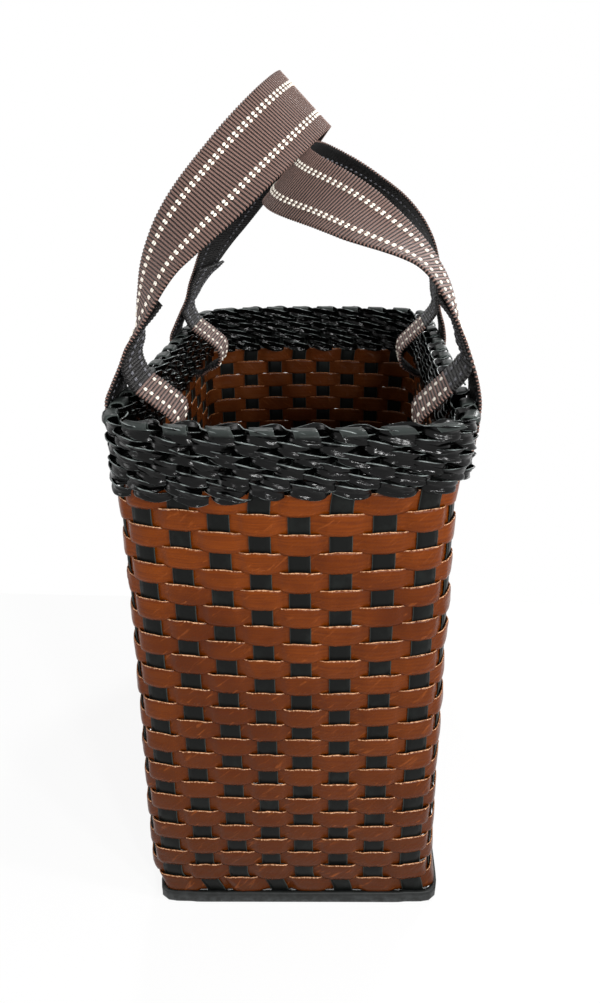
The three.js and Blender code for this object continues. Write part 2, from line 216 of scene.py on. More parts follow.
def lay_strip(bm, steps, splits, place, closed=False):
    """A flat grid laid along a path: place(i, j) gives the point and the (along, across) of each
    crossing, all in millimetres. A closed strip's two ends are merged."""
    uv = bm.loops.layers.uv.get("UVMap") or bm.loops.layers.uv.new("UVMap")
    grid = bmesh.ops.create_grid(bm, x_segments=steps, y_segments=splits, size=1)
    flat = {}
    for vert in grid["verts"]:
        i = round((vert.co.x + 1) / 2 * steps)
        j = round((vert.co.y + 1) / 2 * splits)
        point, flat[vert] = place(i, j)
        vert.co = point * MM
    for face in {face for vert in grid["verts"] for face in vert.link_faces}:
        face.smooth = True
        for loop in face.loops:
            loop[uv].uv = flat[loop.vert]
    if closed:
        ends = [vert for vert in grid["verts"] if vert.is_boundary]
        bmesh.ops.remove_doubles(bm, verts=ends, dist=0.01 * MM)


def new_object(name, bm, materials):
    """An object from a bmesh, with its place in its mesh."""
    mesh = bpy.data.meshes.new(name)
    bm.to_mesh(mesh)
    bm.free()
    for material in materials:
        mesh.materials.append(material)
    made = bpy.data.objects.new(name, mesh)
    bpy.context.scene.collection.objects.link(made)
    return made


def new_piece(name, bm, materials, slot, *nodes):
    """A piece from a bmesh that stands for some of the solids."""
    piece = new_object(name, bm, materials)
    if nodes:
        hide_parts(*nodes)
    return piece


def thicken(piece, thickness, offset=0, back=0):
    """Gives a strip its thickness. back is the material slot's step for its other face."""
    solidify = piece.modifiers.new("thickness", "SOLIDIFY")
    solidify.thickness = thickness * MM
    solidify.offset = offset
    solidify.use_even_offset = True
    solidify.material_offset = back
    return solidify


# Finishes

# The sizes of their patterns in millimetres. Those with two numbers are along and across a strap,
# and are read on the strap's own map, which is in millimetres too. The painted shade of the low
# rows, darker and redder for the less light that reaches them, comes in between two heights.
DYE_PATCH = 62.5
LOW_SHADE_HEIGHTS = (220, 20)
ROW_SHIFT = (61.7, 13.9, 0)
DIE_LINES = (100 / 3, 10 / 9)
STRESS_MARK = (2.6, 15)
STRESS_SLANT = 0.9
WHISKER = 10 / 9
DARK_DIE_LINES = (20, 0.5)
SCUFF_PATCH = 50 / 3
WRINKLE = (6.25, 10 / 7)
CRACKLES_PER_WRINKLE = 1.6
CREASE = (5 / 3, 0.625)
DUST_SPECK = 50 / 11
WEBBING_THREAD = 0.8
WEBBING_FIBRE = 5 / 11
THREAD_TWIST = 10 / 9


def linear(text):
    """A linear colour from an sRGB hex value."""
    parts = [int(text[i:i + 2], 16) / 255 for i in (1, 3, 5)]
    return [c / 12.92 if c <= 0.04045 else ((c + 0.055) / 1.055) ** 2.4 for c in parts] + [1]


def add_node(material, kind, links=None, **settings):
    """Adds a node with its settings. links gives each socket a value or another node's output."""
    node = material.node_tree.nodes.new(kind)
    for name, value in settings.items():
        setattr(node, name, value)
    for socket, value in (links or {}).items():
        if isinstance(value, bpy.types.NodeSocket):
            material.node_tree.links.new(value, node.inputs[socket])
        else:
            node.inputs[socket].default_value = value
    return node


def new_material(name):
    """A material with no nodes yet."""
    material = bpy.data.materials.new(name)
    material.use_nodes = True
    material.node_tree.nodes.clear()
    return material


def finish_material(material, surface):
    """Gives a material its shader."""
    add_node(material, "ShaderNodeOutputMaterial", {"Surface": surface.outputs[0]})
    return material


def strap_map(material):
    """A strap's own map, and its along and across apart."""
    place = add_node(material, "ShaderNodeUVMap", uv_map="UVMap")
    return place, add_node(material, "ShaderNodeSeparateXYZ", {0: place.outputs[0]})


def body_map(material):
    """The place in the basket, and its x, y and z apart."""
    body = add_node(material, "ShaderNodeTexCoord")
    return body, add_node(material, "ShaderNodeSeparateXYZ", {0: body.outputs["Object"]})


def die_lines(material, place, lines):
    """The uneven lines that the die draws along a strap."""
    along = add_node(material, "ShaderNodeMapping", {
        "Vector": place.outputs[0], "Scale": (1 / lines[0], 1 / lines[1], 1)})
    return add_node(material, "ShaderNodeTexNoise", {
        "Vector": along.outputs[0], "Scale": 1, "Detail": 4, "Roughness": 0.7})


def own_place(material, place, height):
    """The place on a weaver, moved on from row to row, so that no two rows have the same marks."""
    rows = add_node(material, "ShaderNodeMath", {
        0: height.outputs[2], 1: 1 / (ROW_PITCH * MM)}, operation="MULTIPLY")
    number = add_node(material, "ShaderNodeMath", {0: rows.outputs[0]}, operation="FLOOR")
    shift = add_node(material, "ShaderNodeVectorMath", {
        0: number.outputs[0], 1: ROW_SHIFT}, operation="MULTIPLY")
    return add_node(material, "ShaderNodeVectorMath", {
        0: place.outputs[0], 1: shift.outputs[0]}, operation="ADD")


def brown_dye(material, lot, streaks, height, dark, light, low_shade):
    """The dye's colour: patchy, darker along the die's lines, and with painted shade in the low rows,
    where it is darker and redder.
    """
    tint = add_node(material, "ShaderNodeMapRange", {0: lot.outputs[0], 1: 0.36, 2: 0.64})
    upper = add_node(material, "ShaderNodeMix", {
        0: tint.outputs[0], 6: linear(dark), 7: linear(light)}, data_type="RGBA")
    # Painted shade: the low rows are darker and redder, for the less light that reaches them.
    low = add_node(material, "ShaderNodeMapRange", {
        0: height.outputs[2], 1: LOW_SHADE_HEIGHTS[0] * MM, 2: LOW_SHADE_HEIGHTS[1] * MM})
    base = add_node(material, "ShaderNodeMix", {
        0: low.outputs[0], 6: upper.outputs[2], 7: linear(low_shade)}, data_type="RGBA")
    streak = add_node(material, "ShaderNodeMapRange", {
        0: streaks.outputs[0], 1: 0.42, 2: 0.66, 3: 0, 4: 0.65})
    return add_node(material, "ShaderNodeMix", {
        0: streak.outputs[0], 6: base.outputs[2], 7: linear("#481A02")}, data_type="RGBA")


def brown_strapping(name, dark, light, low_shade, stressed, whiskers):
    """Extruded polypropylene strapping, dyed rust brown: a waxy gloss with faint lengthwise lines
    from the die, dents where it was bent, and a pale ragged line along its upper slit edge, which
    is frayed fibre and painted highlight where that edge catches the light from above. The lower
    rows are painted darker and redder as shade, and the side that faces in has a darker, duller
    copy as painted shade."""
    material = new_material(name)
    place, apart = strap_map(material)
    body, height = body_map(material)
    lot = add_node(material, "ShaderNodeTexNoise", {
        "Vector": body.outputs["Object"], "Scale": 1 / (DYE_PATCH * MM), "Detail": 3,
        "Roughness": 0.6})
    streaks = die_lines(material, place, DIE_LINES)
    dyed = brown_dye(material, lot, streaks, height, dark, light, low_shade)

    row_place = own_place(material, place, height)
    bent = add_node(material, "ShaderNodeMapping", {
        "Vector": row_place.outputs[0], "Rotation": (0, 0, STRESS_SLANT),
        "Scale": (*STRESS_MARK, 1)}, vector_type="TEXTURE")
    dents = add_node(material, "ShaderNodeTexNoise", {
        "Vector": bent.outputs[0], "Scale": 1, "Detail": 4, "Roughness": 0.6, "Distortion": 0.6})
    mark = add_node(material, "ShaderNodeMapRange", {
        0: dents.outputs[0], 1: 0.6, 2: 0.74, 3: 0, 4: 0.5})
    marked = add_node(material, "ShaderNodeMix", {
        0: mark.outputs[0], 6: dyed.outputs[2], 7: linear(stressed)}, data_type="RGBA")
    # The pale ragged upper edge is frayed fibre and, in part, painted highlight where that edge
    # catches the light from above.
    whisker = add_node(material, "ShaderNodeTexNoise", {
        "Vector": row_place.outputs[0], "Scale": 1 / WHISKER, "Detail": 5, "Roughness": 0.75})
    ragged = add_node(material, "ShaderNodeMath", {
        0: whisker.outputs[0], 1: 3, 2: apart.outputs[1]}, operation="MULTIPLY_ADD")
    edge = add_node(material, "ShaderNodeMapRange", {
        0: ragged.outputs[0], 1: 6.3, 2: 6.85, 3: 0, 4: 0.85})
    colour = add_node(material, "ShaderNodeMix", {
        0: edge.outputs[0], 6: marked.outputs[2], 7: linear(whiskers)}, data_type="RGBA")

    bump = add_node(material, "ShaderNodeBump", {
        "Strength": 0.6, "Distance": 0.7 * MM, "Height": dents.outputs[0]})
    fine = add_node(material, "ShaderNodeBump", {
        "Strength": 0.5, "Distance": 0.2 * MM, "Height": streaks.outputs[0],
        "Normal": bump.outputs[0]})
    rough = add_node(material, "ShaderNodeMapRange", {
        0: lot.outputs[0], 1: 0.3, 2: 0.7, 3: 0.2, 4: 0.34})
    surface = add_node(material, "ShaderNodeBsdfPrincipled", {
        "Base Color": colour.outputs[2], "Roughness": rough.outputs[0],
        "Normal": fine.outputs[0], "IOR": 1.49, "Specular IOR Level": 0.12})
    return finish_material(material, surface)


def dark_strapping():
    """Extruded strapping dyed near black: duller than the brown, with rubbed grey scuffs. Its slit
    edges and its folded ends on the rim's top are painted lighter, as highlight where they catch the
    light."""
    material = new_material("extruded_black_strapping")
    place, apart = strap_map(material)
    body, height = body_map(material)
    streaks = die_lines(material, place, DARK_DIE_LINES)
    rubbed = add_node(material, "ShaderNodeTexNoise", {
        "Vector": body.outputs["Object"], "Scale": 1 / (SCUFF_PATCH * MM), "Detail": 5,
        "Roughness": 0.65})
    scuff = add_node(material, "ShaderNodeMapRange", {
        0: rubbed.outputs[0], 1: 0.52, 2: 0.78, 3: 0, 4: 0.45})
    base = add_node(material, "ShaderNodeMix", {
        0: scuff.outputs[0], 6: linear("#0C0D0C"), 7: linear("#222624")}, data_type="RGBA")
    # Lighter along both slit edges: painted highlight where the edges catch the light.
    across = add_node(material, "ShaderNodeMath", {0: apart.outputs[1]}, operation="ABSOLUTE")
    edge = add_node(material, "ShaderNodeMapRange", {
        0: across.outputs[0], 1: 5.1, 2: 5.5, 3: 0, 4: 0.6})
    edge_highlighted = add_node(material, "ShaderNodeMix", {
        0: edge.outputs[0], 6: base.outputs[2], 7: linear("#3C423F")}, data_type="RGBA")
    # Greyer folded tabs on the rim's top: painted highlight where they face the light.
    tab_highlight = add_node(material, "ShaderNodeMapRange", {
        0: height.outputs[2], 1: (RIM_TOP - 2) * MM, 2: (RIM_TOP + 1) * MM, 3: 0, 4: 0.5})
    colour = add_node(material, "ShaderNodeMix", {
        0: tab_highlight.outputs[0], 6: edge_highlighted.outputs[2], 7: linear("#454B49")}, data_type="RGBA")
    bump = add_node(material, "ShaderNodeBump", {
        "Strength": 0.3, "Distance": 0.2 * MM, "Height": streaks.outputs[0]})
    surface = add_node(material, "ShaderNodeBsdfPrincipled", {
        "Base Color": colour.outputs[2], "Roughness": 0.36, "Normal": bump.outputs[0],
        "IOR": 1.49, "Specular IOR Level": 0.1})
    return finish_material(material, surface)


def twining_strapping():
    """The same black strapping, crushed lengthwise as it was twisted into the rim: a hard gloss
    broken by crackled wrinkles, greyer stress marks along its folds, and pale lines along its slit
    edges, which are painted highlight where the edges catch the light."""
    material = new_material("crumpled_black_strapping")
    place, apart = strap_map(material)
    wrinkled = add_node(material, "ShaderNodeMapping", {
        "Vector": place.outputs[0], "Scale": (1 / WRINKLE[0], 1 / WRINKLE[1], 1)})
    folds = add_node(material, "ShaderNodeTexNoise", {
        "Vector": wrinkled.outputs[0], "Scale": 1, "Detail": 1.5, "Roughness": 0.5,
        "Distortion": 0.8})
    crackle = add_node(material, "ShaderNodeTexVoronoi", {
        "Vector": wrinkled.outputs[0], "Scale": CRACKLES_PER_WRINKLE}, feature="DISTANCE_TO_EDGE")
    sharp = add_node(material, "ShaderNodeMapRange", {
        0: crackle.outputs["Distance"], 1: 0, 2: 0.16})
    fine_folds = add_node(material, "ShaderNodeMapping", {
        "Vector": place.outputs[0], "Scale": (1 / CREASE[0], 1 / CREASE[1], 1)})
    creased = add_node(material, "ShaderNodeTexNoise", {
        "Vector": fine_folds.outputs[0], "Scale": 1, "Detail": 4, "Roughness": 0.65,
        "Distortion": 1.2})
    # Pale lines along both slit edges: painted highlight where the edges catch the light.
    across = add_node(material, "ShaderNodeMath", {0: apart.outputs[1]}, operation="ABSOLUTE")
    ragged = add_node(material, "ShaderNodeMath", {
        0: folds.outputs[0], 1: 1.6, 2: across.outputs[0]}, operation="MULTIPLY_ADD")
    edge = add_node(material, "ShaderNodeMapRange", {
        0: ragged.outputs[0], 1: 6.08, 2: 6.45, 3: 0, 4: 0.7})
    stress = add_node(material, "ShaderNodeMapRange", {
        0: creased.outputs[0], 1: 0.6, 2: 0.75, 3: 0, 4: 0.35})
    base = add_node(material, "ShaderNodeMix", {
        0: stress.outputs[0], 6: linear("#020202"), 7: linear("#161A19")}, data_type="RGBA")
    colour = add_node(material, "ShaderNodeMix", {
        0: edge.outputs[0], 6: base.outputs[2], 7: linear("#848C8A")}, data_type="RGBA")
    large = add_node(material, "ShaderNodeBump", {
        "Strength": 0.35, "Distance": 0.35 * MM, "Height": folds.outputs[0]})
    middling = add_node(material, "ShaderNodeBump", {
        "Strength": 0.2, "Distance": 0.06 * MM, "Height": creased.outputs[0],
        "Normal": large.outputs[0]})
    small = add_node(material, "ShaderNodeBump", {
        "Strength": 0.1, "Distance": 0.04 * MM, "Height": sharp.outputs[0],
        "Normal": middling.outputs[0]})
    surface = add_node(material, "ShaderNodeBsdfPrincipled", {
        "Base Color": colour.outputs[2], "Roughness": 0.18, "Normal": small.outputs[0],
        "IOR": 1.5, "Specular IOR Level": 0.18})
    return finish_material(material, surface)


def foot_strapping():
    """A smooth strip of dark polypropylene round the foot, lighter in specks towards the ground:
    dust, and painted light bounced up from the table.
    """
    material = new_material("foot_strip_dust_and_bounce_light")
    body, apart = body_map(material)
    # Lighter towards the ground in specks: dust, and painted light bounced up from the table.
    low = add_node(material, "ShaderNodeMapRange", {
        0: apart.outputs[2], 1: 0, 2: 8 * MM, 3: 0.75, 4: 0.1})
    dust = add_node(material, "ShaderNodeTexNoise", {
        "Vector": body.outputs["Object"], "Scale": 1 / (DUST_SPECK * MM), "Detail": 5,
        "Roughness": 0.7})
    speck = add_node(material, "ShaderNodeMapRange", {0: dust.outputs[0], 1: 0.42, 2: 0.7})
    dust_and_bounce_light = add_node(material, "ShaderNodeMath", {
        0: low.outputs[0], 1: speck.outputs[0]}, operation="MULTIPLY")
    colour = add_node(material, "ShaderNodeMix", {
        0: dust_and_bounce_light.outputs[0], 6: linear("#101211"), 7: linear("#4A4D4E")}, data_type="RGBA")
    bump = add_node(material, "ShaderNodeBump", {
        "Strength": 0.3, "Distance": 0.2 * MM, "Height": dust.outputs[0]})
    surface = add_node(material, "ShaderNodeBsdfPrincipled", {
        "Base Color": colour.outputs[2], "Roughness": 0.48, "Normal": bump.outputs[0],
        "Specular IOR Level": 0.25})
    return finish_material(material, surface)


def webbing_weave(name, groove_shade, ridge, fuzzed, sheen):
    """Narrow-loom polyester webbing: crosswise ribs under fine lengthwise threads, dull, painted
    dark between the ribs as shade in the grooves, and with a faint sheen from its fuzz."""
    material = new_material(name)
    place, apart = strap_map(material)
    turn = add_node(material, "ShaderNodeMath", {
        0: apart.outputs[0], 1: 2 * math.pi / RIB_PITCH}, operation="MULTIPLY")
    wave = add_node(material, "ShaderNodeMath", {0: turn.outputs[0]}, operation="COSINE")
    thread_turn = add_node(material, "ShaderNodeMath", {
        0: apart.outputs[1], 1: 2 * math.pi / WEBBING_THREAD}, operation="MULTIPLY")
    thread = add_node(material, "ShaderNodeMath", {0: thread_turn.outputs[0]}, operation="COSINE")
    weave = add_node(material, "ShaderNodeMath", {
        0: thread.outputs[0], 1: 0.3, 2: wave.outputs[0]}, operation="MULTIPLY_ADD")
    fibres = add_node(material, "ShaderNodeTexNoise", {
        "Vector": place.outputs[0], "Scale": 1 / WEBBING_FIBRE, "Detail": 4, "Roughness": 0.7})
    fuzz = add_node(material, "ShaderNodeMath", {
        0: fibres.outputs[0], 1: 1.3, 2: weave.outputs[0]}, operation="MULTIPLY_ADD")
    # Painted shade: darker between the ribs, in the grooves.
    height = add_node(material, "ShaderNodeMapRange", {0: fuzz.outputs[0], 1: 0.62, 2: 1.3})
    woven = add_node(material, "ShaderNodeMix", {
        0: height.outputs[0], 6: linear(groove_shade), 7: linear(ridge)}, data_type="RGBA")
    bump = add_node(material, "ShaderNodeBump", {
        "Strength": 0.7, "Distance": 0.4 * MM, "Height": weave.outputs[0]})
    surface = add_node(material, "ShaderNodeBsdfPrincipled", {
        "Base Color": woven.outputs[2], "Roughness": 0.62, "Normal": bump.outputs[0],
        "Specular IOR Level": 0.3, "Sheen Weight": sheen, "Sheen Roughness": 0.35,
        "Sheen Tint": linear(fuzzed)})
    return finish_material(material, surface)


def sewing_thread(name, shade, light):
    """Thick polyester sewing thread, slightly glossy, in short rounded stitches."""
    material = new_material(name)
    body = add_node(material, "ShaderNodeTexCoord")
    twist = add_node(material, "ShaderNodeTexNoise", {
        "Vector": body.outputs["Object"], "Scale": 1 / (THREAD_TWIST * MM), "Detail": 2})
    colour = add_node(material, "ShaderNodeMix", {
        0: twist.outputs[0], 6: linear(shade), 7: linear(light)}, data_type="RGBA")
    bump = add_node(material, "ShaderNodeBump", {
        "Strength": 0.4, "Distance": 0.15 * MM, "Height": twist.outputs[0]})
    surface = add_node(material, "ShaderNodeBsdfPrincipled", {
        "Base Color": colour.outputs[2], "Roughness": 0.5, "Normal": bump.outputs[0]})
    return finish_material(material, surface)


BROWN = brown_strapping("extruded_brown_strapping", dark="#4A1D00", light="#682E02",
                        low_shade="#421E05", stressed="#8E4A1C", whiskers="#E8B890")
# A darker, duller copy of the brown, with dimmer edges, for the side that faces in: painted shade for
# the inside of the basket.
BROWN_SHADED_INSIDE = brown_strapping("shaded_inside_brown_strapping", dark="#47230E", light="#5E3316",
                               low_shade="#331A0C", stressed="#6E3F1E", whiskers="#A87048")
BLACK = dark_strapping()
TWINING = twining_strapping()
FOOT = foot_strapping()
WEBBING_FACE = webbing_weave("ribbed_webbing_face", "#040202", "#7A5F56", "#F2D9D4", 0.05)
WEBBING_BACK = webbing_weave("ribbed_webbing_back", "#060505", "#191717", "#9A9090", 0.01)
CREAM = sewing_thread("cream_sewing_thread", "#D9CDBA", "#FFFAF0")
DARK_THREAD = sewing_thread("grey_bobbin_thread", "#34343A", "#6A6A70")


# Weavers
WEAVER_STEPS = 16 * STAKES
WEAVER_SPLITS = 8
WEAVER_SAG = 0.15
WEAVER_DIVE = 2.1
WEAVER_CUPPING = 0.34
WEAVER_SPREAD = 0.75
CREASE_WIDTH = 0.9
CREASE_SLANT = 2.4


def weaver_creases(rng):
    """The creases of each half stitch of a ring: (place, slant, depth), at most two of them."""
    creases = []
    for _ in range(STAKES):
        many = rng.choice([0, 1, 1, 2, 2])
        creases.append([(rng.choice([-1, 1]) * rng.uniform(0.22, 0.46),
                         rng.uniform(-1.5, 1.5), rng.uniform(0.2, 0.6)) for _ in range(many)])
    return creases


def weaver(row):
    """One brown ring, outside every other stake and inside the rest. It lies flat on a stake, dives
    sharply beside it, and creases there."""
    rng = random.Random(400 + row)
    reach = [1 + rng.uniform(-0.16, 0.2) for _ in range(STAKES)]
    lean = [rng.uniform(-0.25, 0.25) for _ in range(STAKES)]
    creases = weaver_creases(rng)
    middle = WEAVE_BOTTOM + (row + 0.5) * ROW_PITCH - WEAVER_SAG

    def place(i, j):
        length = i / WEAVER_STEPS * AROUND
        v = 2 * j / WEAVER_SPLITS - 1
        cell = length / PITCH
        k = int(cell) % STAKES
        local = cell - int(cell) - 0.5
        side = -1 if (k + row) % 2 == 0 else 1
        turn = math.cos(math.pi * local)
        swing = math.tanh(WEAVER_DIVE * turn) / math.tanh(WEAVER_DIVE) * reach[k]
        if side > 0:
            out = OUTWARD_SWING * swing + lean[k] * v * turn - WEAVER_CUPPING * v ** 4 * turn
        else:
            out = -INWARD_SWING * swing
        for at, slope, depth in creases[k]:
            across = (local - at) * PITCH + slope * CREASE_SLANT * v
            out += side * depth * (math.exp(-((across / CREASE_WIDTH) ** 2)) - 0.25) * turn
        spot = beside(length, 0, middle)
        wobble = uneven(spot, 0.03, row * 3.7) * 0.5
        dent = uneven(spot, 0.12, row * 7 + v * 1.3) * 0.25
        ragged = uneven(spot, 0.45, row * 5 + j) * 0.2
        half = WEAVER_WIDTH / 2 + WEAVER_SPREAD * turn
        z = middle + wobble + v * half - (ragged if abs(v) == 1 else 0)
        return beside(length, out + dent * turn, z), (length, v * WEAVER_WIDTH / 2)

    bm = bmesh.new()
    lay_strip(bm, WEAVER_STEPS, WEAVER_SPLITS, place, closed=True)
    piece = new_piece(f"weaver_ring_{row + 1:02d}", bm, [BROWN_SHADED_INSIDE, BROWN], "weaver_strap",
                      f"weaver_{row + 1:02d}")
    thicken(piece, STRAP_THICKNESS, back=1)
    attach(piece, "basket_body")


for row in range(WEAVER_ROWS):
    weaver(row)


# Stakes
STAKE_SPLITS = 4
FOLD_RISE = 1.2
STAKE_SWAY = 0.35
FLOOR_STEPS = 24
FLOOR_DIVE = 1.6


def leg_stations(number, level, drop, slant):
    """A stake's wall part from its folded end down to the floor: (out, z, along) of each section.
    The folded end hangs by drop under the rim's top, and leans along the wall by slant."""
    top = RIM_TOP + FOLD_RISE
    tab = [(7.3, RIM_TOP - drop), (7.25, RIM_TOP - drop / 2), (6.9, RIM_TOP - 0.3),
           (6.1, top - 0.35), (5.0, top), (3.2, top + 0.15), (1.4, top), (0.35, top - 0.5),
           (0.0, top - 1.6)]
    stations = []
    for out, z in tab:
        along = slant * max(0, out - 1.4) / 5.3
        if out > 6:
            along += slant * (top - z) / 6
        stations.append((out, z, along))
    z = RIM_TOP - 2
    lowest = level + STAKE_BEND
    while z > lowest + 1:
        row = (z - WEAVE_BOTTOM) / ROW_PITCH - 0.5
        woven = smooth(lowest, lowest + 8, z) * (1 - smooth(RIM_BOTTOM - 4, RIM_BOTTOM, z))
        stations.append((STAKE_SWAY * woven * math.cos(math.pi * (row + number)), z, 0))
        z -= ROW_PITCH / 4
    for degrees in range(0, 91, 15):
        angle = math.radians(degrees)
        stations.append((STAKE_BEND * (math.cos(angle) - 1),
                         level + STAKE_BEND * (1 - math.sin(angle)), 0))
    return stations


def stake(name, node, ends, levels, floor, width_direction):
    """A dark strap that runs down one wall, through the floor and up the other. ends are its two
    places among the stakes, levels its heights beside the walls, and floor its (along, z) between."""
    rng = random.Random(900 + ends[0])
    widths = [STAKE_WIDTH * (j / STAKE_SPLITS - 0.5) for j in range(STAKE_SPLITS + 1)]
    legs = []
    for number, level in zip(ends, levels):
        length = (number + 0.5) * PITCH
        _, normal = wall_place(length)
        tangent = Vector((normal.y, -normal.x, 0))
        way = 1 if tangent.dot(width_direction) > 0 else -1
        drop = rng.uniform(0.4, 2.2)
        slant = rng.uniform(-2.6, -0.8)
        legs.append([[beside(length + along + way * width, out, z) for width in widths]
                     for out, z, along in leg_stations(number, level, drop, slant)])

    start, end = [wall_place((number + 0.5) * PITCH)[0] for number in ends]
    run = (end - start).normalized()
    bottom = []
    for along, z in floor:
        middle = start + run * along
        points = [middle + width_direction * width for width in widths]
        bottom.append([settled(point.x, point.y, z) for point in points])
    rows = legs[0] + bottom + legs[1][::-1]
    centre = STAKE_SPLITS // 2
    travelled = [0]
    for before, after in zip(rows, rows[1:]):
        travelled.append(travelled[-1] + (after[centre] - before[centre]).length)

    def place(i, j):
        return rows[i][j], (travelled[i], widths[j])

    bm = bmesh.new()
    lay_strip(bm, len(rows) - 1, STAKE_SPLITS, place)
    piece = new_piece(name, bm, [BLACK], "stake_strap", node)
    thicken(piece, STRAP_THICKNESS)
    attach(piece, "basket_body")


def crosswise_stake(k):
    """One dark strap straight across the floor and up both long walls."""
    number = k - END_STAKES + 1
    other = STAKES - 1 - k
    start, _ = wall_place((k + 0.5) * PITCH)
    end, _ = wall_place((other + 0.5) * PITCH)
    span = (end - start).length
    turn = STAKE_BEND + TWIST_RUN
    floor = [(turn + (span - 2 * turn) * i / FLOOR_STEPS, FLOOR_Z) for i in range(FLOOR_STEPS + 1)]
    stake(f"crosswise_strap_{number:02d}", f"crosswise_stake_{number:02d}", (k, other),
          (FLOOR_Z, FLOOR_Z), floor, Vector((0, 1, 0)))


def lengthwise_stake(k):
    """One dark strap along the floor, over and under the crosswise ones, and up both end walls."""
    number = k + END_STAKES + 1
    here = k % STAKES
    other = 2 * STAKES_PER_QUARTER - 1 - k
    start, _ = wall_place((here + 0.5) * PITCH)
    crossings = []
    for m in range(END_STAKES, 2 * STAKES_PER_QUARTER - END_STAKES):
        crossings.append((wall_place((m + 0.5) * PITCH)[0].y, 1 if (m + k) % 2 == 0 else -1))
    floor = []
    for (here_y, over), (next_y, _) in zip(crossings, crossings[1:]):
        for share in (0, 0.25, 0.5, 0.75):
            y = here_y + (next_y - here_y) * share
            dive = math.tanh(FLOOR_DIVE * math.cos(math.pi * share)) / math.tanh(FLOOR_DIVE)
            floor.append((start.y - y, FLOOR_Z + over * dive * FLOOR_SWING))
    last_y, last_over = crossings[-1]
    floor.append((start.y - last_y, FLOOR_Z + last_over * FLOOR_SWING))
    clear = STRAP_THICKNESS + FLOOR_CLEARANCE
    levels = (FLOOR_Z + crossings[0][1] * clear, FLOOR_Z + last_over * clear)
    stake(f"lengthwise_strap_{number:02d}", f"lengthwise_stake_{number:02d}", (here, other),
          levels, floor, Vector((1, 0, 0)))


for k in range(-END_STAKES, END_STAKES):
    lengthwise_stake(k)
for k in range(END_STAKES, 2 * STAKES_PER_QUARTER - END_STAKES):
    crosswise_stake(k)


# Twined rim
RIM_STEPS_PER_STAKE = 16
RIM_SPLITS = 12
TWINE_WIDTH = 11
LEAF_OUTSIDE = 4.7
LEAF_INSIDE = 3.5
LEAF_HALF = (1.5, 2.0)
LEAF_ROUNDNESS = 0.45
LEAF_DIVE = 1.7
LEAF_TILT = 1.35
LEAF_CROWN = 0.35
TWIST_RISE = 1.45
ROW_STAGGER = 0.42
TAIL_START = 2 * QUARTER + 0.6 * PITCH
TAIL_STAKES = 4
TAIL_DROP = 4.3


def twined_point(length, v, middle, phase, seed, shrink=1):
    """A point of one crushed strap of the twining. It is a long leaf where it passes outside or
    inside a stake, folded so that both its edges stand out, and a narrow twist in the gap between
    two stakes."""
    spot = beside(length, 0, middle)
    turn = math.pi * (length / PITCH - 0.5 + phase)
    face = math.cos(turn)
    broad = abs(face) ** LEAF_ROUNDNESS
    half = (LEAF_HALF[0] + LEAF_HALF[1] * broad) * (1 + 0.3 * uneven(spot, 0.05, seed))
    drift = uneven(spot, 0.025, seed * 3) * 1.1
    wrinkle = uneven(spot, 0.09, seed + v * 1.1)
    fold = abs(uneven(spot, 0.16, seed + 9 + v * 1.6))
    pinch = abs(uneven(spot, 0.5, seed + 20 + v * 0.9))
    relief = LEAF_CROWN * (1 - v * v) - 0.2 - LEAF_TILT * v
    relief += 0.8 * wrinkle - 1.0 * fold - 0.35 * pinch
    reach = LEAF_OUTSIDE if face > 0 else LEAF_INSIDE
    reach *= math.tanh(LEAF_DIVE * face) / math.tanh(LEAF_DIVE)
    out = reach + broad * math.copysign(relief, face)
    z = middle + drift + TWIST_RISE * math.sin(turn) + v * half * shrink
    return beside(length, out * (0.6 + 0.4 * shrink), z)


def rim_row(row):
    """One row of twining: two crushed straps twisted round each other and the stakes. The lowest
    row's tail runs on under it, across half of the near wall."""
    rng = random.Random(70 + row)
    middle = RIM_BOTTOM + (row + 0.5) * RIM_ROW_HEIGHT
    start = rng.uniform(-0.15, 0.15) + ROW_STAGGER * row
    steps = RIM_STEPS_PER_STAKE * STAKES
    tail_steps = RIM_STEPS_PER_STAKE * TAIL_STAKES
    bm = bmesh.new()
    for strand in (0, 1):
        seed = 40 + 7 * row + 3 * strand

        def place(i, j):
            length = i / steps * AROUND
            v = 2 * j / RIM_SPLITS - 1
            point = twined_point(length, v, middle, strand + start, seed)
            return point, (length, v * TWINE_WIDTH / 2)

        def place_tail(i, j):
            share = i / tail_steps
            length = TAIL_START + share * TAIL_STAKES * PITCH
            v = 2 * j / RIM_SPLITS - 1
            shrink = smooth(-0.02, 0.2, share) * (1 - 0.7 * smooth(0.85, 1, share))
            point = twined_point(length, v, middle - TAIL_DROP, strand + start + 0.2, seed + 5,
                                 shrink)
            return point, (length, v * TWINE_WIDTH / 2)

        lay_strip(bm, steps, RIM_SPLITS, place, closed=True)
        if row == 0:
            lay_strip(bm, tail_steps, RIM_SPLITS, place_tail)
    piece = new_piece(f"twined_row_{row + 1}", bm, [TWINING], "rim_twine", "twined_rim")
    thicken(piece, STRAP_THICKNESS, offset=-1).use_even_offset = False
    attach(piece, "basket_body")


for row in range(RIM_ROWS):
    rim_row(row)


# Foot
FOOT_STEPS = 240


